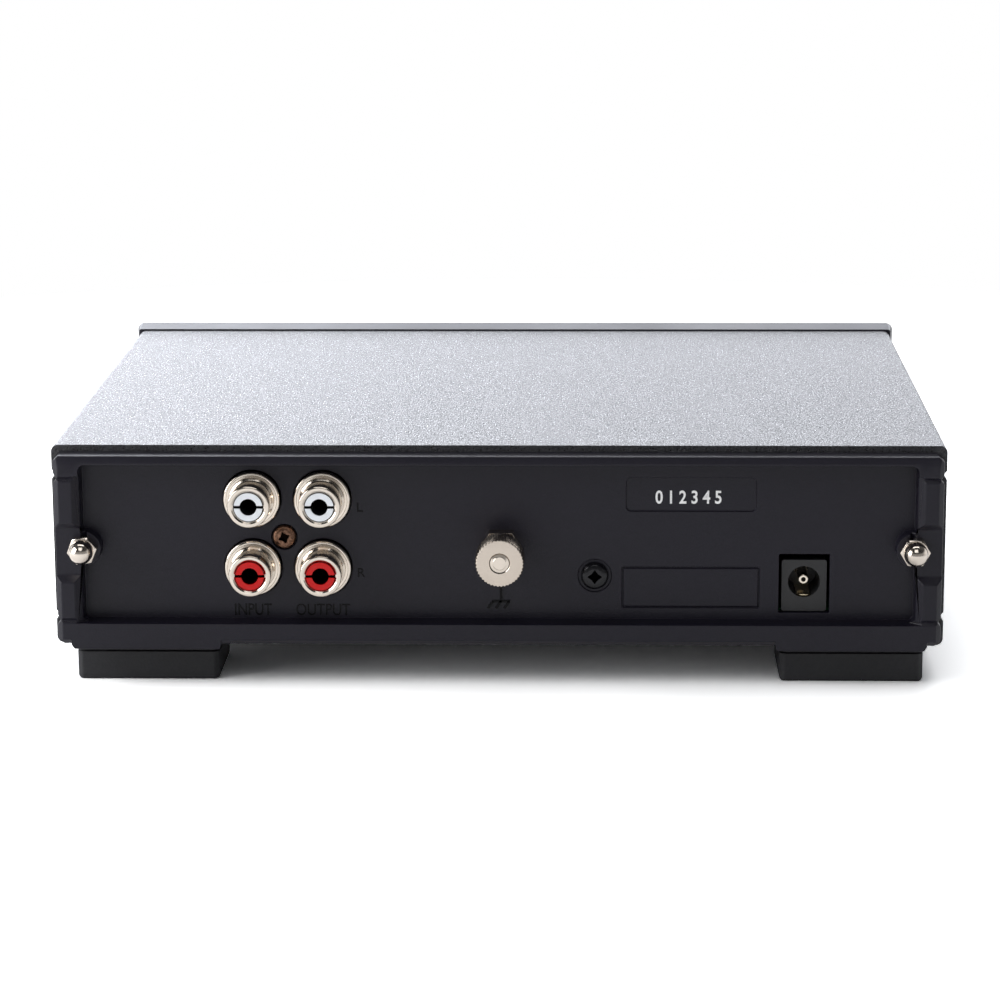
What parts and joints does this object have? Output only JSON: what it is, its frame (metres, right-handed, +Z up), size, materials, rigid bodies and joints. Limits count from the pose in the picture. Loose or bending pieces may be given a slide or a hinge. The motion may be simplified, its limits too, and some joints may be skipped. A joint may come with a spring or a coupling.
{
  "type": "phono preamplifier",
  "caption": "Compact phono preamplifier: flat extruded case with moulded end panels, rear phono sockets, screw ground terminal, barrel power inlet and front push button.",
  "frame": {"origin": "middle of the footprint, on the surface that the feet stand on", "axes": "+Z up; +X along the width; -Y is the front with the push button, +Y the rear with the sockets"},
  "size_m": [0.18, 0.1576, 0.05],
  "materials": {
    "coated_aluminium": "charcoal powder coat with a fine grain on extruded aluminium",
    "moulded_abs": "injection-moulded black plastic with a fine spark-eroded grain",
    "zinc_plate": "bright zinc plate on drawn steel",
    "nickel_plate": "bright nickel plate on turned brass or steel",
    "turned_brass": "bare turned brass",
    "foot_rubber": "moulded black rubber",
    "board_laminate": "green solder mask over glass-filled laminate",
    "moulded_nylon": "moulded black nylon",
    "white_nylon": "moulded white plastic",
    "red_nylon": "moulded red plastic",
    "contact_gold": "thin gold flash on a sprung bronze strip",
    "copper_plate": "antique copper plate on a steel screw",
    "tinned_steel": "tin plate on pressed steel",
    "black_zinc": "glossy black zinc on a steel screw",
    "lamp_epoxy": "cast green epoxy",
    "can_film": "dark blue shrink sleeve on an aluminium can",
    "black_epoxy": "moulded black epoxy",
    "bare_aluminium": "extruded aluminium",
    "red_epoxy": "dipped red epoxy",
    "resistor_lacquer": "baked beige lacquer"
  },
  "bodies": {
    "case": {"case_sleeve": "coated_aluminium", "front_panel": "moulded_abs", "rear_panel": "moulded_abs", "tie_rods": "zinc_plate", "domed_nuts": "nickel_plate", "rod_inserts": "turned_brass", "foot_front_left": "foot_rubber", "foot_front_right": "foot_rubber", "foot_rear_left": "foot_rubber", "foot_rear_right": "foot_rubber", "circuit_board": "board_laminate", "socket_housing": "moulded_nylon", "input_shell_left": "nickel_plate", "input_shell_right": "nickel_plate", "output_shell_left": "nickel_plate", "output_shell_right": "nickel_plate", "input_core_left": "white_nylon", "output_core_left": "white_nylon", "input_core_right": "red_nylon", "output_core_right": "red_nylon", "socket_contacts": "contact_gold", "socket_screw": "copper_plate", "ground_stud": "nickel_plate", "ground_nut": "nickel_plate", "ground_tag": "tinned_steel", "ground_inner_nut": "nickel_plate", "inlet_body": "moulded_nylon", "inlet_pin": "nickel_plate", "inlet_spring": "contact_gold", "board_bracket": "tinned_steel", "bracket_screw": "black_zinc", "switch_body": "moulded_nylon", "indicator_lamp": "lamp_epoxy", "reservoir_capacitors": "can_film", "rectifier_diodes": "black_epoxy", "regulators": "black_epoxy", "heat_sinks": "bare_aluminium", "signal_capacitors": "can_film", "film_capacitors": "red_epoxy", "amplifier_chips": "black_epoxy", "transistors": "black_epoxy", "resistors": "resistor_lacquer"},
    "button": {"power_button": "moulded_abs", "switch_plunger": "white_nylon"},
    "clamp": {"clamp_washer": "nickel_plate"},
    "thumb": {"thumb_nut": "nickel_plate"}
  },
  "joints": [
    {"name": "button_press", "type": "slide", "parent": "case", "child": "button", "axis": [0, 1, 0], "range_m": [0, 0.003], "stiffness_N_per_m": 300, "springref_m": -0.005},
    {"name": "clamp_travel", "type": "slide", "parent": "case", "child": "clamp", "axis": [0, 1, 0], "range_m": [-0.00158, 0.0021]},
    {"name": "thumb_turn", "type": "hinge", "parent": "clamp", "child": "thumb", "pos_m": [-0.00065, 0.0756, 0.0278], "axis": [0, 1, 0], "range_deg": [-812, 1082]}
  ],
  "couplings": [
    {"joint": "thumb_turn", "follows": "clamp_travel", "rad_per_m": 8976}
  ]
}
